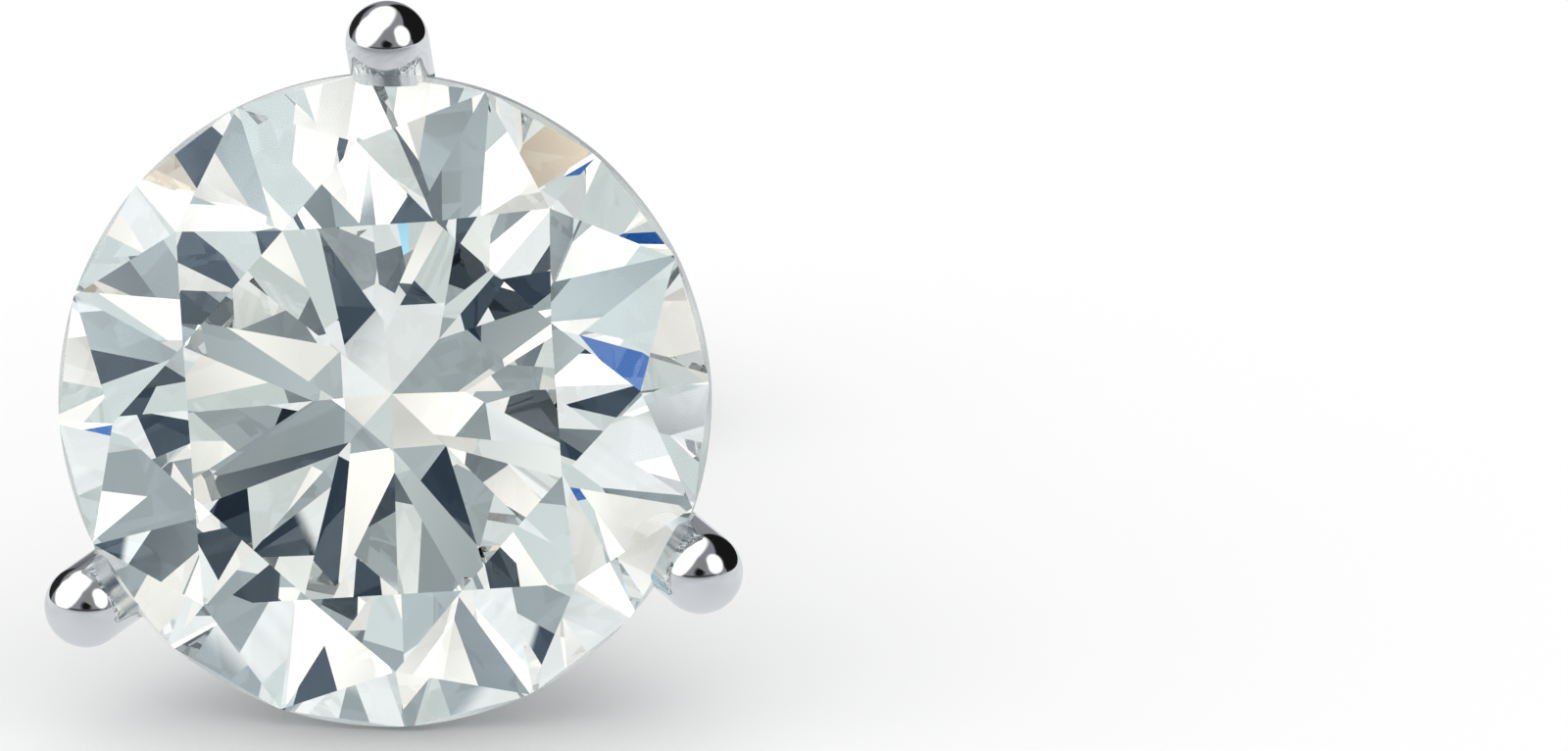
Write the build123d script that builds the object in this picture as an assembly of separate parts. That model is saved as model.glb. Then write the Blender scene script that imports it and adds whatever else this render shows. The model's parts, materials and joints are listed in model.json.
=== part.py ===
"""A three-prong stud earring with its friction back, lying on a surface.

Every piece is modelled about the earring's own axis: the girdle's mid plane is at Z = 0, the stone's
table faces +Z and the post runs to -Z. Seen from the table, +X is right and +Y is up. The pieces are
then laid down together, resting on the girdle and on the back's lower flat, with the table facing -Y.
"""

import math
import os

from build123d import *

# --- Stone: a round brilliant --------------------------------------------------------------------
STONE_DIAMETER = 6.5
TABLE_SHARE = 0.61  # table, corner to corner, as a share of the diameter
CROWN_ANGLE = 34.8
PAVILION_ANGLE = 40.9
STAR_LENGTH = 0.565  # share of the way from the table's edge to the girdle, in plan
LOWER_HALF_LENGTH = 0.765  # share of the way from the girdle to the culet, in plan
GIRDLE_THICKNESS = 0.30
MAIN_FACETS = 8
FIRST_MAIN_AZIMUTH = 26.8  # the stone sits a little turned in its prongs

# --- Setting: three round-tipped prongs on a collar ------------------------------------------------
PRONG_AZIMUTHS = (89.0, 215.0, 333.0)
PRONG_RADIUS = 0.415
PRONG_ROUNDING = 0.40
TIP_FROM_AXIS = 3.58  # to the middle of the rounding
TIP_ABOVE_GIRDLE = 0.35
TIP_OVERLAP = 0.09  # how far a tip reaches in over the stone
COLLAR_RADIUS = 0.95
COLLAR_LENGTH = 0.90
COLLAR_ROUNDING = 0.18
COLLAR_BELOW_CULET = 0.60
PRONG_FOOT_FROM_AXIS = 0.48
PIECE_GAP = 0.03  # between pieces that bear on each other

# --- Post -----------------------------------------------------------------------------------------
POST_RADIUS = 0.40
POST_LENGTH = 9.8  # from the collar's back to the tip
SOCKET_DEPTH = 0.50
TIP_ROUNDING = 0.25
GROOVE_FROM_TIP = 2.0
GROOVE_WIDTH = 0.30
GROOVE_DEPTH = 0.07

# --- Friction back: a barrel that grips the post, behind a flange that bears on the lobe -------------
LOBE_GAP = 5.0  # from the collar's back to the flange
FLANGE_RADIUS = 1.80
FLANGE_FLAT = 1.45  # from the axis to each of the two flats
FLANGE_THICKNESS = 0.50
FLANGE_ROUNDING = 0.12
BARREL_RADIUS = 1.15
BARREL_LENGTH = 1.80
BARREL_ROUNDING = 0.30

# --- Worked out from the sizes above ----------------------------------------------------------------
STONE_RADIUS = STONE_DIAMETER / 2
GIRDLE_TOP = GIRDLE_THICKNESS / 2
MAIN_STEP = 360 / MAIN_FACETS
TABLE_RADIUS = TABLE_SHARE * STONE_RADIUS
TABLE_HEIGHT = GIRDLE_TOP + (STONE_RADIUS - TABLE_RADIUS) * math.tan(math.radians(CROWN_ANGLE))
CULET_DEPTH = GIRDLE_TOP + STONE_RADIUS * math.tan(math.radians(PAVILION_ANGLE))
COLLAR_TOP = -(CULET_DEPTH + COLLAR_BELOW_CULET)
COLLAR_BACK = COLLAR_TOP - COLLAR_LENGTH
POST_TIP = COLLAR_BACK - POST_LENGTH
FLANGE_FRONT = COLLAR_BACK - LOBE_GAP
FLANGE_BACK = FLANGE_FRONT - FLANGE_THICKNESS
BARREL_END = FLANGE_BACK - BARREL_LENGTH

UPRIGHT = (Align.CENTER, Align.CENTER, Align.MIN)


def at(radius, azimuth, height):
    """The point at that distance and direction from the earring's axis."""
    angle = math.radians(azimuth)
    return Vector(radius * math.cos(angle), radius * math.sin(angle), height)


def facet(a, b, c):
    """The plane through three of a facet's corners, facing out of the stone."""
    normal = (b - a).cross(c - a).normalized()
    return Plane(origin=a, z_dir=normal if normal.dot(a) > 0 else -normal)


def star_tip_at(azimuth):
    """A star facet's outer corner, where two crown mains meet."""
    half_step = math.cos(math.radians(MAIN_STEP / 2))
    table_edge = TABLE_RADIUS * half_step
    radius = table_edge + STAR_LENGTH * (STONE_RADIUS - table_edge)
    fall = (radius * half_step - TABLE_RADIUS) * math.tan(math.radians(CROWN_ANGLE))
    return at(radius, azimuth, TABLE_HEIGHT - fall)


def lower_half_tip_at(azimuth):
    """A lower half's inner corner, where two pavilion mains meet."""
    half_step = math.cos(math.radians(MAIN_STEP / 2))
    radius = (1 - LOWER_HALF_LENGTH) * STONE_RADIUS
    rise = radius * half_step * math.tan(math.radians(PAVILION_ANGLE))
    return at(radius, azimuth, rise - CULET_DEPTH)


def stone_facets():
    """The planes of every facet but the table, main by main round the axis."""
    for index in range(MAIN_FACETS):
        main = FIRST_MAIN_AZIMUTH + index * MAIN_STEP
        between = main + MAIN_STEP / 2
        following = main + MAIN_STEP
        rim = [at(STONE_RADIUS, azimuth, GIRDLE_TOP) for azimuth in (main, between, following)]
        sole = [at(STONE_RADIUS, azimuth, -GIRDLE_TOP) for azimuth in (main, between, following)]
        corner = at(TABLE_RADIUS, main, TABLE_HEIGHT)
        next_corner = at(TABLE_RADIUS, following, TABLE_HEIGHT)
        star_tip = star_tip_at(between)
        half_tip = lower_half_tip_at(between)
        yield facet(corner, star_tip, star_tip_at(between - MAIN_STEP))  # crown main
        yield facet(corner, next_corner, star_tip)  # star
        yield facet(star_tip, rim[0], rim[1])  # upper halves
        yield facet(star_tip, rim[1], rim[2])
        yield facet(sole[0], half_tip, lower_half_tip_at(between - MAIN_STEP))  # pavilion main
        yield facet(half_tip, sole[0], sole[1])  # lower halves
        yield facet(half_tip, sole[1], sole[2])


def brilliant_stone():
    """A round blank, cut facet by facet."""
    blank = Pos(0, 0, -CULET_DEPTH) * Cylinder(STONE_RADIUS, CULET_DEPTH + TABLE_HEIGHT, align=UPRIGHT)
    for plane in stone_facets():
        blank = split(blank, bisect_by=plane, keep=Keep.BOTTOM)
    return blank


def stone_space():
    """The round space that the stone and its gap take in the prongs."""
    star_tip = star_tip_at(0)
    half_tip = lower_half_tip_at(0)
    crown_slope = (star_tip.Z - GIRDLE_TOP) / (STONE_RADIUS - star_tip.X)
    pavilion_slope = (-GIRDLE_TOP - half_tip.Z) / (STONE_RADIUS - half_tip.X)
    wall = STONE_RADIUS + PIECE_GAP
    shoulder = GIRDLE_TOP + PIECE_GAP
    profile = Polyline(
        (0, 0, -shoulder - wall * pavilion_slope),
        (wall, 0, -shoulder),
        (wall, 0, shoulder),
        (0, 0, shoulder + wall * crown_slope),
        close=True,
    )
    return revolve(make_face(profile), Axis.Z)


def prong(azimuth):
    """One leaning wire with a rounded tip, its foot inside the collar."""
    foot = at(PRONG_FOOT_FROM_AXIS, azimuth, (COLLAR_TOP + COLLAR_BACK) / 2)
    lean = at(TIP_FROM_AXIS, azimuth, TIP_ABOVE_GIRDLE) - foot
    wire = Cylinder(PRONG_RADIUS, lean.length + PRONG_RADIUS, align=UPRIGHT)
    wire = fillet(wire.edges().sort_by(Axis.Z)[-1], PRONG_ROUNDING)
    return Plane(origin=foot, z_dir=lean) * wire


def tip_trim(azimuth):
    """What is filed off a prong's tip in front of the crown, so that it hides little of the stone."""
    height = 2 * STONE_RADIUS
    trim = Box(height, height, height, align=(Align.MAX, Align.CENTER, Align.MIN))
    return Rot(0, 0, azimuth) * Pos(STONE_RADIUS - TIP_OVERLAP, 0, 0) * trim


def three_prong_setting():
    """Prongs and collar as one cast solid, with the stone's seat and the post's socket cut in."""
    collar = Pos(0, 0, COLLAR_BACK) * Cylinder(COLLAR_RADIUS, COLLAR_LENGTH, align=UPRIGHT)
    body = fillet(collar.edges(), COLLAR_ROUNDING)
    for azimuth in PRONG_AZIMUTHS:
        body += prong(azimuth) - stone_space() - tip_trim(azimuth)
    socket = Cylinder(POST_RADIUS + PIECE_GAP, SOCKET_DEPTH + PIECE_GAP, align=UPRIGHT)
    return body - Pos(0, 0, COLLAR_BACK) * socket


def ear_post():
    """A plain round post with a groove for the back and a rounded tip."""
    length = POST_LENGTH + SOCKET_DEPTH
    shaft = Pos(0, 0, POST_TIP) * Cylinder(POST_RADIUS, length, align=UPRIGHT)
    shaft = fillet(shaft.edges().sort_by(Axis.Z)[0], TIP_ROUNDING)
    core = Cylinder(POST_RADIUS - GROOVE_DEPTH, GROOVE_WIDTH)
    groove = Cylinder(POST_RADIUS + PIECE_GAP, GROOVE_WIDTH) - core
    return shaft - Pos(0, 0, POST_TIP + GROOVE_FROM_TIP) * groove


def friction_back():
    """A round flange with two flats and a barrel behind it, with one hole through both."""
    flange = Pos(0, 0, FLANGE_BACK) * Cylinder(FLANGE_RADIUS, FLANGE_THICKNESS, align=UPRIGHT)
    flange &= Box(3 * FLANGE_RADIUS, 2 * FLANGE_FLAT, 3 * -FLANGE_BACK)
    flange = fillet(flange.edges(), FLANGE_ROUNDING)
    overlap = FLANGE_THICKNESS / 2
    barrel = Pos(0, 0, BARREL_END) * Cylinder(BARREL_RADIUS, BARREL_LENGTH + overlap, align=UPRIGHT)
    barrel = fillet(barrel.edges().sort_by(Axis.Z)[0], BARREL_ROUNDING)
    hole = Cylinder(POST_RADIUS + PIECE_GAP, -3 * BARREL_END)
    return flange + barrel - hole


def lying_tilt():
    """How far the table faces up when the girdle and the back's lower flat both touch the surface."""
    drop = STONE_RADIUS - (FLANGE_FLAT - FLANGE_ROUNDING)
    run = -GIRDLE_TOP - (FLANGE_BACK + FLANGE_ROUNDING)
    return math.degrees(math.acos(FLANGE_ROUNDING / math.hypot(drop, run)) - math.atan2(run, drop))


def laid_down(pieces):
    """The pieces, turned to lie on the plane Z = 0, with the origin under the middle of them all."""
    turned = {name: Rot(90 - lying_tilt(), 0, 0) * piece for name, piece in pieces.items()}
    boxes = [piece.bounding_box() for piece in turned.values()]
    low = [min(tuple(box.min)[axis] for box in boxes) for axis in range(3)]
    high = [max(tuple(box.max)[axis] for box in boxes) for axis in range(3)]
    move = Pos(-(low[0] + high[0]) / 2, -(low[1] + high[1]) / 2, -low[2])
    return {name: move * piece for name, piece in turned.items()}


pieces = {
    "brilliant_stone": brilliant_stone(),
    "three_prong_setting": three_prong_setting(),
    "ear_post": ear_post(),
    "friction_back": friction_back(),
}
os.makedirs("parts", exist_ok=True)
for name, piece in laid_down(pieces).items():
    export_step(piece, f"parts/{name}.step")
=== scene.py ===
import json
import math

import bpy
from mathutils import Matrix, Quaternion, Vector


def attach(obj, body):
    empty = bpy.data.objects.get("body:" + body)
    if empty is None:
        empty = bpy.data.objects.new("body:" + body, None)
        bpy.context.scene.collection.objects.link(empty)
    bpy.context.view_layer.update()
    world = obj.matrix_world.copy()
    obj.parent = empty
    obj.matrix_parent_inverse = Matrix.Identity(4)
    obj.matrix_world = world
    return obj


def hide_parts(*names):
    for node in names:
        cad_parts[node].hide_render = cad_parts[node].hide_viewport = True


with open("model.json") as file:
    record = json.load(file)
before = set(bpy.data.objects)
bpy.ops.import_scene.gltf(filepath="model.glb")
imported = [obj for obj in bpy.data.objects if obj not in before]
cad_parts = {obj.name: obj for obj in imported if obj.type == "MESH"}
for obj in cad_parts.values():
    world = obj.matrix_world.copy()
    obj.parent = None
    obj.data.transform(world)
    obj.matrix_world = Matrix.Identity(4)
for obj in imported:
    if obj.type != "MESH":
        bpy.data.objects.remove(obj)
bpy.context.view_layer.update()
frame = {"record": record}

MM = 0.001

# --- Sizes in millimetres, about the earring's own axis: girdle at z = 0, table towards +z --------
STONE_RADIUS = 3.25
TABLE_RADIUS = 0.61 * STONE_RADIUS
CROWN_ANGLE = math.radians(34.8)
PAVILION_ANGLE = math.radians(40.9)
STAR_LENGTH = 0.565
LOWER_HALF_LENGTH = 0.765
GIRDLE_TOP = 0.15
MAIN_STEP = 45
FIRST_MAIN = 26.8
PRONG_AZIMUTHS = (89, 215, 333)
PRONG_RADIUS = 0.415
PRONG_ROUNDING = 0.40
TIP_FROM_AXIS = 3.58
TIP_ABOVE_GIRDLE = 0.35
TIP_OVERLAP = 0.09
COLLAR_RADIUS = 0.95
COLLAR_LENGTH = 0.90
COLLAR_ROUNDING = 0.18
COLLAR_BELOW_CULET = 0.60
PRONG_FOOT_FROM_AXIS = 0.48
PIECE_GAP = 0.03
POST_RADIUS = 0.40
POST_LENGTH = 9.8
SOCKET_DEPTH = 0.50
POST_ROUNDING = 0.25
GROOVE_FROM_TIP = 2.0
GROOVE_WIDTH = 0.30
GROOVE_DEPTH = 0.07
LOBE_GAP = 5.0
FLANGE_RADIUS = 1.80
FLANGE_FLAT = 1.45
FLANGE_THICKNESS = 0.50
FLANGE_ROUNDING = 0.12
BARREL_RADIUS = 1.15
BARREL_LENGTH = 1.80
BARREL_ROUNDING = 0.30
GROOVE_EDGE_ROUNDING = 0.015
WELD = 1e-5  # corners closer than this are one
TOUCH = 1e-4  # how far a corner may be off the end that it belongs to

TABLE_HEIGHT = GIRDLE_TOP + (STONE_RADIUS - TABLE_RADIUS) * math.tan(CROWN_ANGLE)
CULET_DEPTH = GIRDLE_TOP + STONE_RADIUS * math.tan(PAVILION_ANGLE)
COLLAR_TOP = -CULET_DEPTH - COLLAR_BELOW_CULET
COLLAR_BACK = COLLAR_TOP - COLLAR_LENGTH
POST_TIP = COLLAR_BACK - POST_LENGTH
FLANGE_FRONT = COLLAR_BACK - LOBE_GAP
FLANGE_BACK = FLANGE_FRONT - FLANGE_THICKNESS
BARREL_END = FLANGE_BACK - BARREL_LENGTH


def earring_frame():
    """The matrix from the earring's own axis, in millimetres, to its place on the floor, in metres."""
    lobe = next(m for m in frame["record"]["mounts"] if m["name"] == "lobe_stretch")
    front = -Vector(lobe["axis"]).normalized()
    side = Vector((1, 0, 0))
    up = front.cross(side)
    girdle = Vector(lobe["pos_m"]) - front * (COLLAR_BACK - LOBE_GAP / 2) * MM
    turn = Matrix((side, up, front)).transposed().to_4x4()
    return Matrix.Translation(girdle) @ turn @ Matrix.Scale(MM, 4)


EARRING = earring_frame()


# --- Modelling helpers ----------------------------------------------------------------------------
def deselect_all():
    for thing in bpy.context.selected_objects:
        thing.select_set(False)


def start(name):
    """Names the primitive that was just added and opens it in edit mode."""
    piece = bpy.context.object
    piece.name = name
    bpy.ops.object.mode_set(mode="EDIT")
    return piece


def select_faces(piece, test):
    """In edit mode, selects the faces whose centre and normal pass the test."""
    bpy.ops.object.mode_set(mode="OBJECT")
    for vertex in piece.data.vertices:
        vertex.select = False
    for edge in piece.data.edges:
        edge.select = False
    for face in piece.data.polygons:
        face.select = test(face.center, face.normal)
    bpy.ops.object.mode_set(mode="EDIT")


def select_edges(piece, test):
    """In edit mode, selects the edges whose two ends both pass the test."""
    bpy.ops.object.mode_set(mode="EDIT")
    bpy.ops.mesh.select_mode(type="EDGE")
    bpy.ops.object.mode_set(mode="OBJECT")
    points = piece.data.vertices
    for face in piece.data.polygons:
        face.select = False
    for vertex in points:
        vertex.select = False
    for edge in piece.data.edges:
        edge.select = all(test(points[index].co) for index in edge.vertices)
    bpy.ops.object.mode_set(mode="EDIT")


def apply_boolean(piece, other, operation):
    """Joins or cuts away another solid, which is used up, then welds what is left almost touching."""
    modifier = piece.modifiers.new("Shape", "BOOLEAN")
    modifier.operation = operation
    modifier.object = other
    modifier.solver = "EXACT"
    bpy.context.view_layer.objects.active = piece
    bpy.ops.object.modifier_apply(modifier=modifier.name)
    bpy.data.objects.remove(other)
    bpy.ops.object.mode_set(mode="EDIT")
    bpy.ops.mesh.select_all(action="SELECT")
    bpy.ops.mesh.remove_doubles(threshold=WELD)
    bpy.ops.mesh.dissolve_degenerate(threshold=WELD)
    bpy.ops.object.mode_set(mode="OBJECT")


def round_edges(piece, width, segments=3, angle=35):
    """Takes the sharpness off every edge that turns by more than the angle."""
    modifier = piece.modifiers.new("Rounding", "BEVEL")
    modifier.width = width
    modifier.segments = segments
    modifier.limit_method = "ANGLE"
    modifier.angle_limit = math.radians(angle)
    bpy.context.view_layer.objects.active = piece
    bpy.ops.object.modifier_apply(modifier=modifier.name)


def lay_down(piece, node, smooth_angle):
    """Moves a finished piece from the earring's own axis to its place, where it stands for its node."""
    bpy.ops.object.mode_set(mode="OBJECT")
    deselect_all()
    piece.select_set(True)
    bpy.context.view_layer.objects.active = piece
    piece.matrix_world = EARRING @ piece.matrix_world
    bpy.ops.object.transform_apply(location=True, rotation=True, scale=True)
    bpy.ops.object.shade_smooth_by_angle(angle=math.radians(smooth_angle))
    deselect_all()
    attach(piece, "root")
    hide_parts(node)
    return piece


# --- Stone ----------------------------------------------------------------------------------------
def at(radius, azimuth, height):
    """The point at that distance and direction from the earring's axis."""
    angle = math.radians(azimuth)
    return Vector((radius * math.cos(angle), radius * math.sin(angle), height))


def star_tip(azimuth):
    """A star facet's outer corner, where two crown mains meet."""
    half_step = math.cos(math.radians(MAIN_STEP / 2))
    table_edge = TABLE_RADIUS * half_step
    radius = table_edge + STAR_LENGTH * (STONE_RADIUS - table_edge)
    fall = (radius * half_step - TABLE_RADIUS) * math.tan(CROWN_ANGLE)
    return at(radius, azimuth, TABLE_HEIGHT - fall)


def half_tip(azimuth):
    """A lower half's inner corner, where two pavilion mains meet."""
    radius = (1 - LOWER_HALF_LENGTH) * STONE_RADIUS
    rise = radius * math.cos(math.radians(MAIN_STEP / 2)) * math.tan(PAVILION_ANGLE)
    return at(radius, azimuth, rise - CULET_DEPTH)


def facet_corners(main):
    """Three corners of each facet that belongs to the main at this azimuth."""
    between, following = main + MAIN_STEP / 2, main + MAIN_STEP
    rim = [at(STONE_RADIUS, azimuth, GIRDLE_TOP) for azimuth in (main, between, following)]
    sole = [at(STONE_RADIUS, azimuth, -GIRDLE_TOP) for azimuth in (main, between, following)]
    corner = at(TABLE_RADIUS, main, TABLE_HEIGHT)
    next_corner = at(TABLE_RADIUS, following, TABLE_HEIGHT)
    return (
        (corner, star_tip(between), star_tip(between - MAIN_STEP)),
        (corner, next_corner, star_tip(between)),
        (star_tip(between), rim[0], rim[1]),
        (star_tip(between), rim[1], rim[2]),
        (sole[0], half_tip(between), half_tip(between - MAIN_STEP)),
        (half_tip(between), sole[0], sole[1]),
        (half_tip(between), sole[1], sole[2]),
    )


def cut_facet(a, b, c):
    """Grinds away all that lies outside the plane through three corners."""
    outward = (b - a).cross(c - a).normalized()
    if outward.dot(a) < 0:
        outward = -outward
    bpy.ops.mesh.select_all(action="SELECT")
    bpy.ops.mesh.bisect(
        plane_co=a, plane_no=outward, use_fill=True, clear_outer=True, threshold=WELD
    )


def make_stone():
    """A round blank, ground facet by facet."""
    deselect_all()
    height = TABLE_HEIGHT + CULET_DEPTH
    bpy.ops.mesh.primitive_cylinder_add(
        vertices=288, radius=STONE_RADIUS, depth=height, location=(0, 0, TABLE_HEIGHT - height / 2)
    )
    bpy.ops.object.transform_apply(location=True)
    stone = start("brilliant_cut_stone")
    for index in range(360 // MAIN_STEP):
        for corners in facet_corners(FIRST_MAIN + index * MAIN_STEP):
            cut_facet(*corners)
    return lay_down(stone, "brilliant_stone", smooth_angle=4)


# --- Setting --------------------------------------------------------------------------------------
def prong(azimuth):
    """One leaning wire with a rounded tip."""
    foot = at(PRONG_FOOT_FROM_AXIS, azimuth, (COLLAR_TOP + COLLAR_BACK) / 2)
    tip = at(TIP_FROM_AXIS, azimuth, TIP_ABOVE_GIRDLE)
    lean = (tip - foot).normalized()
    length = (tip - foot).length + PRONG_RADIUS
    deselect_all()
    bpy.ops.mesh.primitive_cylinder_add(vertices=96, radius=PRONG_RADIUS, depth=length)
    wire = start("prong")
    select_edges(wire, lambda point: point.z > length / 2 - TOUCH)
    bpy.ops.mesh.bevel(offset=PRONG_ROUNDING, segments=24, affect="EDGES")
    bpy.ops.object.mode_set(mode="OBJECT")
    turn = lean.to_track_quat("Z", "Y").to_matrix().to_4x4()
    wire.matrix_world = Matrix.Translation(foot + lean * length / 2) @ turn
    bpy.ops.object.transform_apply(location=True, rotation=True)
    return wire


def stone_space():
    """The round space that the stone and its gap take in the prongs."""
    star, half = star_tip(0), half_tip(0)
    crown_slope = (star.z - GIRDLE_TOP) / (STONE_RADIUS - star.x)
    pavilion_slope = (-GIRDLE_TOP - half.z) / (STONE_RADIUS - half.x)
    wall, shoulder = STONE_RADIUS + PIECE_GAP, GIRDLE_TOP + PIECE_GAP
    deselect_all()
    bpy.ops.mesh.primitive_cylinder_add(vertices=288, radius=wall, depth=2 * shoulder)
    space = start("stone_space")
    select_faces(space, lambda centre, normal: normal.z > 0.9)
    bpy.ops.mesh.extrude_region_move(TRANSFORM_OT_translate={"value": (0, 0, wall * crown_slope)})
    bpy.ops.mesh.merge(type="CENTER")
    select_faces(space, lambda centre, normal: normal.z < -0.9)
    bpy.ops.mesh.extrude_region_move(TRANSFORM_OT_translate={"value": (0, 0, -wall * pavilion_slope)})
    bpy.ops.mesh.merge(type="CENTER")
    bpy.ops.object.mode_set(mode="OBJECT")
    return space


def tip_trim(azimuth):
    """What is filed off a tip in front of the crown."""
    size = 2 * STONE_RADIUS
    deselect_all()
    bpy.ops.mesh.primitive_cube_add(size=size)
    trim = bpy.context.object
    flat = STONE_RADIUS - TIP_OVERLAP
    turn = Matrix.Rotation(math.radians(azimuth), 4, "Z")
    trim.matrix_world = turn @ Matrix.Translation((flat - size / 2, 0, size / 2))
    bpy.ops.object.transform_apply(location=True, rotation=True)
    return trim


def make_setting():
    """Collar and prongs as one solid, with the stone's seat and the post's socket cut in."""
    deselect_all()
    bpy.ops.mesh.primitive_cylinder_add(
        vertices=128,
        radius=COLLAR_RADIUS,
        depth=COLLAR_LENGTH,
        location=(0, 0, COLLAR_BACK + COLLAR_LENGTH / 2),
    )
    bpy.ops.object.transform_apply(location=True)
    setting = start("prong_setting")
    bpy.ops.object.mode_set(mode="OBJECT")
    round_edges(setting, COLLAR_ROUNDING, segments=10)
    for azimuth in PRONG_AZIMUTHS:
        wire = prong(azimuth)
        apply_boolean(wire, stone_space(), "DIFFERENCE")
        apply_boolean(wire, tip_trim(azimuth), "DIFFERENCE")
        apply_boolean(setting, wire, "UNION")
    deselect_all()
    bpy.ops.mesh.primitive_cylinder_add(
        vertices=96,
        radius=POST_RADIUS + PIECE_GAP,
        depth=2 * (SOCKET_DEPTH + PIECE_GAP),
        location=(0, 0, COLLAR_BACK),
    )
    bpy.ops.object.transform_apply(location=True)
    apply_boolean(setting, bpy.context.object, "DIFFERENCE")
    return lay_down(setting, "three_prong_setting", smooth_angle=30)


# --- Post -----------------------------------------------------------------------------------------
def make_post():
    """A round post with a groove for the back and a rounded tip."""
    deselect_all()
    length = POST_LENGTH + SOCKET_DEPTH
    bpy.ops.mesh.primitive_cylinder_add(
        vertices=96, radius=POST_RADIUS, depth=length, location=(0, 0, POST_TIP + length / 2)
    )
    bpy.ops.object.transform_apply(location=True)
    post = start("post")
    groove = POST_TIP + GROOVE_FROM_TIP
    half = GROOVE_WIDTH / 2
    for edge in (groove - half, groove + half):
        bpy.ops.mesh.select_all(action="SELECT")
        bpy.ops.mesh.bisect(plane_co=(0, 0, edge), plane_no=(0, 0, 1))
    select_faces(post, lambda centre, normal: abs(centre.z - groove) < half and abs(normal.z) < 0.5)
    bpy.ops.mesh.extrude_region_shrink_fatten(TRANSFORM_OT_shrink_fatten={"value": -GROOVE_DEPTH})
    select_edges(post, lambda point: point.z < POST_TIP + TOUCH)
    bpy.ops.mesh.bevel(offset=POST_ROUNDING, segments=12, affect="EDGES")
    bpy.ops.object.mode_set(mode="OBJECT")
    round_edges(post, GROOVE_EDGE_ROUNDING, segments=2)
    return lay_down(post, "ear_post", smooth_angle=40)


# --- Friction back --------------------------------------------------------------------------------
def make_back():
    """A flange with two flats and a barrel behind it, with one hole through both."""
    deselect_all()
    middle = (FLANGE_FRONT + FLANGE_BACK) / 2
    bpy.ops.mesh.primitive_cylinder_add(
        vertices=60, radius=FLANGE_RADIUS, depth=FLANGE_THICKNESS, location=(0, 0, middle)
    )
    bpy.ops.object.transform_apply(location=True)
    back = start("flanged_friction_back")
    for side in (1, -1):
        bpy.ops.mesh.select_all(action="SELECT")
        bpy.ops.mesh.bisect(
            plane_co=(0, side * FLANGE_FLAT, 0), plane_no=(0, side, 0), use_fill=True, clear_outer=True
        )
    bpy.ops.object.mode_set(mode="OBJECT")
    round_edges(back, FLANGE_ROUNDING, segments=8)
    deselect_all()
    bpy.ops.mesh.primitive_cylinder_add(
        vertices=128,
        radius=BARREL_RADIUS,
        depth=middle - BARREL_END,
        location=(0, 0, (middle + BARREL_END) / 2),
    )
    bpy.ops.object.transform_apply(location=True)
    barrel = start("barrel")
    select_edges(barrel, lambda point: point.z < BARREL_END + TOUCH)
    bpy.ops.mesh.bevel(offset=BARREL_ROUNDING, segments=12, affect="EDGES")
    bpy.ops.object.mode_set(mode="OBJECT")
    apply_boolean(back, barrel, "UNION")
    deselect_all()
    bpy.ops.mesh.primitive_cylinder_add(
        vertices=96, radius=POST_RADIUS + PIECE_GAP, depth=4 * BARREL_LENGTH, location=(0, 0, middle)
    )
    bpy.ops.object.transform_apply(location=True)
    apply_boolean(back, bpy.context.object, "DIFFERENCE")
    return lay_down(back, "friction_back", smooth_angle=30)


# --- Materials ------------------------------------------------------------------------------------
DIAMOND_INDEX = 2.417
NAVY_MIRROR = (0.30, 0.37, 0.45)  # a weak, bluish mirror image, so that dark facets stay dark
CLEAR_STONE = (0.985, 1.0, 0.99)
GROUND_GIRDLE = (0.95, 0.96, 0.96)
GIRDLE_FADE = (0.02, 0.005)  # from the girdle's edges: the grinding thins out between the two
DARKER_METAL = (0.84, 0.84, 0.86)
LIGHTER_METAL = (0.90, 0.90, 0.91)
HAIRLINE_STRETCH = (40, 3, 12)  # hairlines to a millimetre along x, y and z
SEAT_FADE = 0.02  # millimetres in which the satin seat turns into polished metal
HAIRLINE_DEPTH = 0.0000015  # in metres


def new_material(name):
    material = bpy.data.materials.new(name)
    material.use_nodes = True
    return material, material.node_tree, material.node_tree.nodes["Principled BSDF"]


def new_group(name, inputs, outputs):
    """A shader node group with float inputs, given with their defaults, and typed outputs."""
    group = bpy.data.node_groups.new(name, "ShaderNodeTree")
    for label, value in inputs:
        socket = group.interface.new_socket(name=label, in_out="INPUT", socket_type="NodeSocketFloat")
        socket.default_value = value
    for label, kind in outputs:
        group.interface.new_socket(name=label, in_out="OUTPUT", socket_type=kind)
    return group, group.nodes.new("NodeGroupInput"), group.nodes.new("NodeGroupOutput")


def millimetres(tree):
    """The point on the piece, in millimetres."""
    place = tree.nodes.new("ShaderNodeTexCoord")
    scale = tree.nodes.new("ShaderNodeVectorMath")
    scale.operation = "SCALE"
    scale.inputs["Scale"].default_value = 1 / MM
    tree.links.new(place.outputs["Object"], scale.inputs[0])
    return scale.outputs["Vector"]


def about_the_axis(tree):
    """The point in the earring's own frame, in millimetres, with z along the post towards the table."""
    place = tree.nodes.new("ShaderNodeTexCoord")
    back = EARRING.inverted()
    own = tree.nodes.new("ShaderNodeMapping")
    own.inputs["Location"].default_value = back.to_translation()
    own.inputs["Rotation"].default_value = back.to_euler()
    own.inputs["Scale"].default_value = back.to_scale()
    tree.links.new(place.outputs["Object"], own.inputs["Vector"])
    return own.outputs["Vector"]


def noise(tree, point, scale, detail=3.0, roughness=0.5):
    texture = tree.nodes.new("ShaderNodeTexNoise")
    texture.inputs["Scale"].default_value = scale
    texture.inputs["Detail"].default_value = detail
    texture.inputs["Roughness"].default_value = roughness
    tree.links.new(point, texture.inputs["Vector"])
    return texture.outputs["Fac"]


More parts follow.
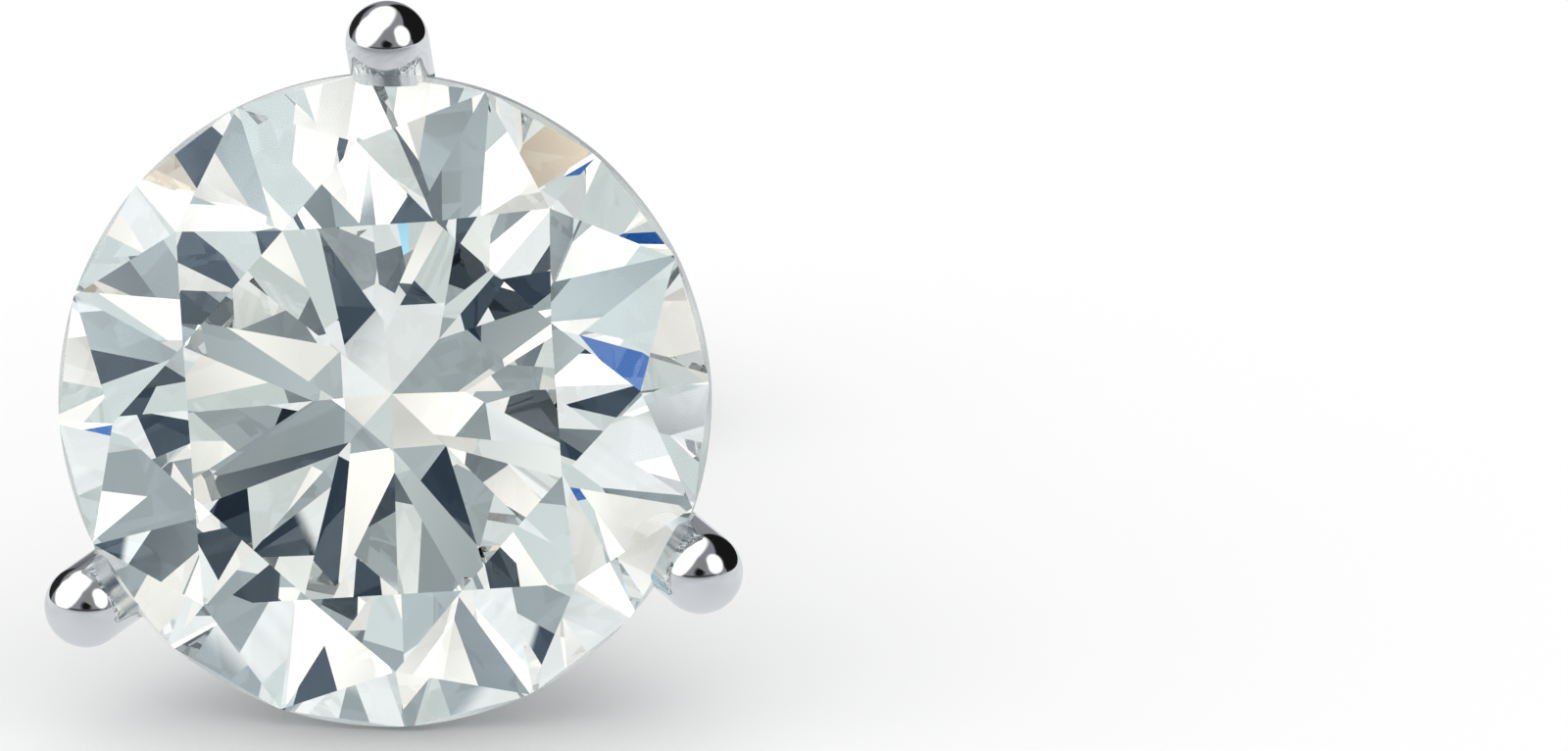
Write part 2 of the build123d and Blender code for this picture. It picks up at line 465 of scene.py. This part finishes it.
def maths(tree, operation, first, second=None):
    """One math node; each operand is a number or another node's output."""
    node = tree.nodes.new("ShaderNodeMath")
    node.operation = operation
    for slot, operand in enumerate((first, second)):
        if isinstance(operand, (int, float)):
            node.inputs[slot].default_value = operand
        elif operand is not None:
            tree.links.new(operand, node.inputs[slot])
    return node.outputs["Value"]


def spread(tree, value, low, high, start=0.0, end=1.0):
    """Maps a value between start and end onto low to high."""
    ramp = tree.nodes.new("ShaderNodeMapRange")
    ramp.inputs["From Min"].default_value = start
    ramp.inputs["From Max"].default_value = end
    ramp.inputs["To Min"].default_value = low
    ramp.inputs["To Max"].default_value = high
    tree.links.new(value, ramp.inputs["Value"])
    return ramp.outputs["Result"]


def seat_area(tree):
    """Where the stone's seat is cut into the prongs, which the polishing wheel cannot reach."""
    own = about_the_axis(tree)
    across = tree.nodes.new("ShaderNodeVectorMath")
    across.operation = "MULTIPLY"
    across.inputs[1].default_value = (1, 1, 0)
    tree.links.new(own, across.inputs[0])
    radius = tree.nodes.new("ShaderNodeVectorMath")
    radius.operation = "LENGTH"
    tree.links.new(across.outputs["Vector"], radius.inputs[0])
    parts = tree.nodes.new("ShaderNodeSeparateXYZ")
    tree.links.new(own, parts.inputs["Vector"])
    wall = STONE_RADIUS + PIECE_GAP
    near = spread(tree, radius.outputs["Value"], 1, 0, wall, wall + SEAT_FADE)
    front = spread(tree, parts.outputs["Z"], 0, 1, -3 * GIRDLE_TOP, -2 * GIRDLE_TOP)
    return maths(tree, "MULTIPLY", near, front)


def buffed_metal():
    """What a polishing wheel leaves: uneven gloss, faint hairlines and a satin seat round the stone."""
    group, given, result = new_group(
        "buffed_metal",
        (("Gloss", 0.05), ("Marks", 0.10), ("Seat Satin", 0.0)),
        (("Roughness", "NodeSocketFloat"), ("Tint", "NodeSocketColor"), ("Normal", "NodeSocketVector")),
    )
    point = millimetres(group)
    haze = spread(group, noise(group, point, 1.6), 0.6, 1.6, 0.3, 0.7)
    polished = maths(group, "MULTIPLY", haze, given.outputs["Gloss"])
    satin = maths(group, "MULTIPLY", seat_area(group), given.outputs["Seat Satin"])
    group.links.new(maths(group, "ADD", polished, satin), result.inputs["Roughness"])
    tint = group.nodes.new("ShaderNodeMix")
    tint.data_type = "RGBA"
    tint.inputs["A"].default_value = (*DARKER_METAL, 1)
    tint.inputs["B"].default_value = (*LIGHTER_METAL, 1)
    group.links.new(spread(group, noise(group, point, 0.9), 0, 1, 0.35, 0.65), tint.inputs["Factor"])
    group.links.new(tint.outputs["Result"], result.inputs["Tint"])
    stretch = group.nodes.new("ShaderNodeVectorMath")
    stretch.operation = "MULTIPLY"
    stretch.inputs[1].default_value = HAIRLINE_STRETCH
    group.links.new(point, stretch.inputs[0])
    marks = group.nodes.new("ShaderNodeBump")
    marks.inputs["Distance"].default_value = HAIRLINE_DEPTH
    group.links.new(given.outputs["Marks"], marks.inputs["Strength"])
    group.links.new(noise(group, stretch.outputs["Vector"], 1.0, detail=2.0), marks.inputs["Height"])
    group.links.new(marks.outputs["Normal"], result.inputs["Normal"])
    return group


def white_gold(name, finish, gloss, marks, seat_satin=0):
    material, tree, shader = new_material(name)
    surface = tree.nodes.new("ShaderNodeGroup")
    surface.node_tree = finish
    surface.inputs["Gloss"].default_value = gloss
    surface.inputs["Marks"].default_value = marks
    surface.inputs["Seat Satin"].default_value = seat_satin
    tree.links.new(surface.outputs["Tint"], shader.inputs["Base Color"])
    tree.links.new(surface.outputs["Roughness"], shader.inputs["Roughness"])
    tree.links.new(surface.outputs["Normal"], shader.inputs["Normal"])
    shader.inputs["Metallic"].default_value = 1
    return material


def diamond():
    """Clear polished facets, with a fine-ground girdle that scatters the light."""
    material, tree, shader = new_material("brilliant_cut_diamond")
    shader.inputs["IOR"].default_value = DIAMOND_INDEX
    shader.inputs["Metallic"].default_value = 0
    shader.inputs["Transmission Weight"].default_value = 1
    shader.inputs["Specular Tint"].default_value = (*NAVY_MIRROR, 1)
    point = millimetres(tree)
    own = tree.nodes.new("ShaderNodeSeparateXYZ")
    tree.links.new(about_the_axis(tree), own.inputs["Vector"])
    distance = maths(tree, "ABSOLUTE", own.outputs["Z"])
    thins, ends = (GIRDLE_TOP - fade for fade in GIRDLE_FADE)
    girdle = spread(tree, distance, 1, 0, thins, ends)
    grain = noise(tree, point, 60, detail=2.0)
    frost = maths(tree, "MULTIPLY", girdle, spread(tree, grain, 0.2, 0.5))
    tree.links.new(frost, shader.inputs["Roughness"])
    body = tree.nodes.new("ShaderNodeMix")
    body.data_type = "RGBA"
    body.inputs["A"].default_value = (*CLEAR_STONE, 1)
    body.inputs["B"].default_value = (*GROUND_GIRDLE, 1)
    tree.links.new(girdle, body.inputs["Factor"])
    tree.links.new(body.outputs["Result"], shader.inputs["Base Color"])
    return material


def dress(pieces, material):
    for piece in pieces:
        piece.data.materials.clear()
        piece.data.materials.append(material)


# --- Studio ---------------------------------------------------------------------------------------
SENSOR = 36  # millimetres across
FRAME_WIDTH = 15.57  # millimetres across the view at the stone
CAMERA_DISTANCE = 150  # millimetres from the stone
CAMERA_PLACE = (17.46, -149.21, 45.42)  # in millimetres
CAMERA_YAW = 5.44  # degrees, to the left
CAMERA_PITCH = 16.27  # degrees below the horizontal
CAMERA_ROLL = -0.73
CLIP_START, CLIP_END = 0.01, 2  # in metres


def make_camera():
    """A long lens in front of the stone, a little above its axis and to the right of it."""
    data = bpy.data.cameras.new("camera")
    camera = bpy.data.objects.new("camera", data)
    bpy.context.scene.collection.objects.link(camera)
    data.sensor_width = SENSOR
    data.lens = SENSOR * CAMERA_DISTANCE / FRAME_WIDTH
    data.clip_start, data.clip_end = CLIP_START, CLIP_END
    face = Matrix.Rotation(math.radians(CAMERA_YAW), 4, "Z")
    nod = Matrix.Rotation(math.radians(90 - CAMERA_PITCH), 4, "X")
    roll = Matrix.Rotation(math.radians(CAMERA_ROLL), 4, "Z")
    camera.matrix_world = Matrix.Translation(Vector(CAMERA_PLACE) * MM) @ face @ nod @ roll
    bpy.context.scene.camera = camera


# The tints of the cards
CREAM = (1.0, 0.995, 0.96)
GREY = (0.80, 0.93, 0.97)
NAVY = (0.35, 0.62, 1.0)
NEUTRAL = (1.0, 1.0, 1.0)
COOL_WHITE = (0.93, 0.98, 1.0)
ROYAL_BLUE = (0.0, 0.22, 1.0)
SKY_BLUE = (0.40, 0.78, 1.0)
PEACH = (1.0, 0.87, 0.68)
MIRRORED_FLOOR = (0.82, 0.845, 0.865)

CAMERA_AZIMUTH = 7  # where the camera stands as seen from the stone, in degrees
CAMERA_ELEVATION = 16
CARD_DISTANCE = 230  # millimetres from the stone, less one for each material made before the card
MAT_STEP = 0.001  # millimetres that a mat lies above the floor for each material made before it
FLOOR_REACH = 480  # millimetres to the edges of the mats that stand for the floor
FLOOR_RADIANCE = 0.92
CARD_CLOUDS = 160  # per metre: patches about 2 degrees wide as seen from the stone
UNEVEN = {"metal": 0.04, "stone": 0.33}  # how much a card's radiance varies either way
UNEVEN_MAT = 0.06
RING_CARDS = 8
RING_CENTRE = (CAMERA_AZIMUTH, CAMERA_ELEVATION + 10)
RING_REACH = 25  # degrees from its centre to its cards
RING_HALF_SIZE = 6  # degrees, of each card
RING_KEY = 1.3  # radiance of its light cards
RING_FLAG = 0.05  # and of its dark ones


def faded(group, distance, fade):
    """Full in the middle, then smoothly down to nothing at a distance of 1 from it."""
    ramp = group.nodes.new("ShaderNodeMapRange")
    ramp.interpolation_type = "SMOOTHSTEP"
    inside = maths(group, "SUBTRACT", 1, distance)
    group.links.new(maths(group, "DIVIDE", inside, fade), ramp.inputs["Value"])
    return ramp.outputs["Result"]


def soft_edges():
    """The mask of a rectangular card, which fades out towards its four edges."""
    group, given, result = new_group(
        "soft_edges",
        (("Fade Across", 0.2), ("Fade Up", 0.2)),
        (("Mask", "NodeSocketFloat"),),
    )
    parts = group.nodes.new("ShaderNodeSeparateXYZ")
    place = group.nodes.new("ShaderNodeTexCoord")
    group.links.new(place.outputs["Object"], parts.inputs["Vector"])
    across = faded(group, maths(group, "ABSOLUTE", parts.outputs["X"]), given.outputs["Fade Across"])
    up = faded(group, maths(group, "ABSOLUTE", parts.outputs["Y"]), given.outputs["Fade Up"])
    group.links.new(maths(group, "MULTIPLY", across, up), result.inputs["Mask"])
    return group


def soft_rim():
    """The mask of an oval card, which fades out towards its rim."""
    group, given, result = new_group("soft_rim", (("Fade Across", 0.2),), (("Mask", "NodeSocketFloat"),))
    reach = group.nodes.new("ShaderNodeVectorMath")
    reach.operation = "LENGTH"
    place = group.nodes.new("ShaderNodeTexCoord")
    group.links.new(place.outputs["Object"], reach.inputs[0])
    rim = faded(group, reach.outputs["Value"], given.outputs["Fade Across"])
    group.links.new(rim, result.inputs["Mask"])
    return group


def glow(name, radiance, uneven, colour, edge, fades):
    """A card that shines unevenly and fades out at its edge. With next to no radiance it is a flag."""
    material = bpy.data.materials.new(name)
    material.use_nodes = True
    material.cycles.emission_sampling = "NONE"
    tree = material.node_tree
    tree.nodes.clear()
    light = tree.nodes.new("ShaderNodeEmission")
    light.inputs["Color"].default_value = (*colour, 1)
    place = tree.nodes.new("ShaderNodeNewGeometry").outputs["Position"]
    clouds = spread(tree, noise(tree, place, CARD_CLOUDS, detail=0), 1 - uneven, 1 + uneven, 0.3, 0.7)
    tree.links.new(maths(tree, "MULTIPLY", clouds, radiance), light.inputs["Strength"])
    mask = tree.nodes.new("ShaderNodeGroup")
    mask.node_tree = edge
    for label, fade in zip(("Fade Across", "Fade Up"), fades):
        mask.inputs[label].default_value = fade
    mix = tree.nodes.new("ShaderNodeMixShader")
    tree.links.new(mask.outputs["Mask"], mix.inputs["Fac"])
    tree.links.new(tree.nodes.new("ShaderNodeBsdfTransparent").outputs["BSDF"], mix.inputs[1])
    tree.links.new(light.outputs["Emission"], mix.inputs[2])
    output = tree.nodes.new("ShaderNodeOutputMaterial")
    tree.links.new(mix.outputs["Shader"], output.inputs["Surface"])
    return material


def hang(card, name, material, place, turn, width, height, seen_in):
    """Puts a card up in the studio, seen only in gloss or only through the stone."""
    card.name = name
    card.matrix_world = Matrix.LocRotScale(place, turn, Vector((width, height, 1)))
    card.data.materials.append(material)
    card.visible_camera = False
    card.visible_diffuse = False
    card.visible_shadow = False
    card.visible_glossy = seen_in == "metal"
    card.visible_transmission = seen_in == "stone"


def heading(azimuth, elevation):
    """Direction and turn of a card seen from the stone, its azimuth counted rightwards from the front."""
    a, e = math.radians(azimuth), math.radians(elevation)
    direction = Vector((math.sin(a) * math.cos(e), -math.cos(a) * math.cos(e), math.sin(e)))
    side = Vector((math.cos(a), math.sin(a), 0))
    turn = Matrix((side, direction.cross(side), direction)).transposed().to_quaternion()
    return direction, turn


def next_distance():
    """Each card hangs a little in front of the one before."""
    return (CARD_DISTANCE - len(bpy.data.materials)) * MM


def panel(seen_in, name, azimuth, elevation, half_width, half_height, radiance, colour, fade=4):
    """A card that faces the stone. Its half sizes and its fading edge are given in degrees."""
    deselect_all()
    bpy.ops.mesh.primitive_plane_add(size=2)
    direction, turn = heading(azimuth, elevation)
    distance = next_distance()
    halves = [math.radians(half + fade / 2) for half in (half_width, half_height)]
    fades = [min(1, math.radians(fade) / half) for half in halves]
    sizes = [distance * math.tan(half) for half in halves]
    material = glow(name, radiance, UNEVEN[seen_in], colour, SOFT_EDGES, fades)
    place = EARRING.translation + direction * distance
    hang(bpy.context.object, name, material, place, turn, *sizes, seen_in)


def oval_panel(seen_in, name, azimuth, elevation, half_width, half_height, radiance, colour, fade):
    """An oval card that faces the stone."""
    deselect_all()
    bpy.ops.mesh.primitive_circle_add(vertices=96, radius=1, fill_type="NGON")
    direction, turn = heading(azimuth, elevation)
    distance = next_distance()
    halves = [math.radians(half + fade / 2) for half in (half_width, half_height)]
    sizes = [distance * math.tan(half) for half in halves]
    rim = min(1, math.radians(fade) / min(halves))
    material = glow(name, radiance, UNEVEN[seen_in], colour, SOFT_RIM, [rim])
    place = EARRING.translation + direction * distance
    hang(bpy.context.object, name, material, place, turn, *sizes, seen_in)


def mat(seen_in, name, x, y, half_width, half_height, radiance, colour, fade=1):
    """A card lying on the floor, placed in millimetres from below the stone."""
    deselect_all()
    bpy.ops.mesh.primitive_plane_add(size=2)
    level = MAT_STEP * len(bpy.data.materials)
    place = Vector((EARRING.translation.x + x * MM, EARRING.translation.y + y * MM, level * MM))
    sizes = [half + fade / 2 for half in (half_width, half_height)]
    fades = [min(1, fade / size) for size in sizes]
    material = glow(name, radiance, UNEVEN_MAT, colour, SOFT_EDGES, fades)
    flat = Quaternion()
    hang(bpy.context.object, name, material, place, flat, sizes[0] * MM, sizes[1] * MM, seen_in)


def hang_metal_cards():
    """What the polished metal mirrors: a big box on the left, a round one on the right, dark gaps."""
    mat("metal", "floor_below", 0, 0, FLOOR_REACH, FLOOR_REACH, FLOOR_RADIANCE, MIRRORED_FLOOR)
    mat("metal", "floor_in_shade", 0, -145, 120, 130, 0.38, COOL_WHITE, fade=60)
    panel("metal", "rear_right_gap", 125, 25, 44, 34, 0.01, NEUTRAL, fade=8)
    panel("metal", "rear_left_gap", -135, 12, 24, 20, 0.02, NEUTRAL, fade=8)
    oval_panel("metal", "left_box", -66, 40, 36, 42, 1.4, CREAM, fade=12)
    oval_panel("metal", "overhead_box", -100, 76, 40, 26, 1.4, CREAM, fade=12)
    oval_panel("metal", "camera_surround", 14, 26, 15, 26, 0.25, NEUTRAL, fade=16)
    oval_panel("metal", "round_box", 54, 30, 21, 26, 1.5, CREAM, fade=10)
    oval_panel("metal", "camera_shade", 5, 13, 15, 13, 0.01, NEUTRAL, fade=12)
    panel("metal", "horizon_gap", 5, 2, 60, 3, 0.06, NEUTRAL)


def hang_ring():
    """Small cards round the lens, light and dark by turns, which make the facets flash."""
    half = RING_HALF_SIZE
    for index in range(RING_CARDS):
        angle = math.radians(index * 360 / RING_CARDS)
        azimuth = RING_CENTRE[0] + RING_REACH * math.sin(angle)
        elevation = RING_CENTRE[1] + RING_REACH * math.cos(angle)
        if index % 2:
            panel("stone", f"ring_key_{index}", azimuth, elevation, half, half, RING_KEY, CREAM)
        else:
            panel("stone", f"ring_flag_{index}", azimuth, elevation, half, half, RING_FLAG, NAVY)


def hang_stone_cards():
    """What the stone gathers: floor, softboxes, the dark camera with a ring round it, and four tints."""
    mat("stone", "floor_for_stone", 0, 0, FLOOR_REACH, FLOOR_REACH, FLOOR_RADIANCE, COOL_WHITE)
    mat("stone", "shade_under_stone", 0, 0, 8, 4, 0.15, GREY, fade=2)
    mat("stone", "grey_cloth_in_front", 0, -20, 15, 10, 0.40, GREY)
    mat("stone", "dark_table_edge", 0, -65, 10, 30, 0.05, NAVY)
    panel("stone", "rear_flag", 120, 20, 20, 20, 0.10, NAVY)
    panel("stone", "left_softbox", -45, 30, 25, 25, 1.0, CREAM)
    panel("stone", "right_softbox", 60, 30, 25, 25, 1.0, CREAM)
    panel("stone", "grey_surround", CAMERA_AZIMUTH, CAMERA_ELEVATION, 15, 15, 0.44, GREY)
    hang_ring()
    panel("stone", "camera_body", CAMERA_AZIMUTH, CAMERA_ELEVATION, 8, 8, 0.01, NAVY)
    panel("stone", "royal_blue_fire", -18, 64, 5, 5, 0.40, ROYAL_BLUE, fade=1)
    panel("stone", "peach_fire", -30, 59, 4, 5, 0.82, PEACH, fade=1)
    panel("stone", "sky_blue_fire", 110, 72, 9, 8, 0.95, SKY_BLUE, fade=2)
    panel("stone", "right_peach_fire", 80, 58, 8, 5, 0.73, PEACH, fade=1)


FLOOR_SIZE = 1.0  # in metres
FLOOR_GREY = 0.9


def make_floor():
    """A plain matt floor at the height on which the earring lies."""
    deselect_all()
    bpy.ops.mesh.primitive_plane_add(size=FLOOR_SIZE)
    floor = bpy.context.object
    floor.name = "floor"
    material, tree, shader = new_material("pale_floor")
    shader.inputs["Base Color"].default_value = (FLOOR_GREY, FLOOR_GREY, FLOOR_GREY, 1)
    shader.inputs["Roughness"].default_value = 1
    shader.inputs["Specular IOR Level"].default_value = 0
    floor.data.materials.append(material)


# The dome's levels: for the floor's light, in gloss, through the stone and behind it all
FLOOR_LIGHT = (1.12, 1.12, 1.12)
METAL_SKY = (0.26, 0.27, 0.29)
STONE_SKY = (0.62, 0.70, 0.70)
BACKDROP = (1.0, 1.0, 1.0)


def make_world():
    """An even dome of light, with its own level for the floor, for gloss and for the stone."""
    world = bpy.data.worlds.new("studio")
    bpy.context.scene.world = world
    world.use_nodes = True
    world.cycles.sampling_method = "NONE"
    tree = world.node_tree
    path = tree.nodes.new("ShaderNodeLightPath")
    colour = tree.nodes.new("ShaderNodeRGB")
    colour.outputs["Color"].default_value = (*FLOOR_LIGHT, 1)
    seen = colour.outputs["Color"]
    rays = (
        ("Is Glossy Ray", METAL_SKY),
        ("Is Transmission Ray", STONE_SKY),
        ("Is Camera Ray", BACKDROP),
    )
    for ray, level in rays:
        mix = tree.nodes.new("ShaderNodeMix")
        mix.data_type = "RGBA"
        tree.links.new(path.outputs[ray], mix.inputs["Factor"])
        tree.links.new(seen, mix.inputs["A"])
        mix.inputs["B"].default_value = (*level, 1)
        seen = mix.outputs["Result"]
    tree.links.new(seen, tree.nodes["Background"].inputs["Color"])


STONE_BOUNCES = 40  # light runs round inside the stone many times before it comes out
METAL_BOUNCES = 20
FLOOR_BOUNCES = 4


def make_studio():
    make_floor()
    make_world()
    hang_metal_cards()
    hang_stone_cards()
    make_camera()
    scene = bpy.context.scene
    scene.view_settings.view_transform = "Standard"
    scene.cycles.max_bounces = STONE_BOUNCES
    scene.cycles.transmission_bounces = STONE_BOUNCES
    scene.cycles.glossy_bounces = METAL_BOUNCES
    scene.cycles.diffuse_bounces = FLOOR_BOUNCES


SOFT_EDGES = soft_edges()
SOFT_RIM = soft_rim()
stone = make_stone()
setting = make_setting()
post = make_post()
back = make_back()
finish = buffed_metal()
dress([stone], diamond())
dress([setting], white_gold("rhodium_plated_prongs", finish, gloss=0.05, marks=0.10, seat_satin=0.17))
dress([post, back], white_gold("rhodium_plated_fittings", finish, gloss=0.08, marks=0.20))
make_studio()
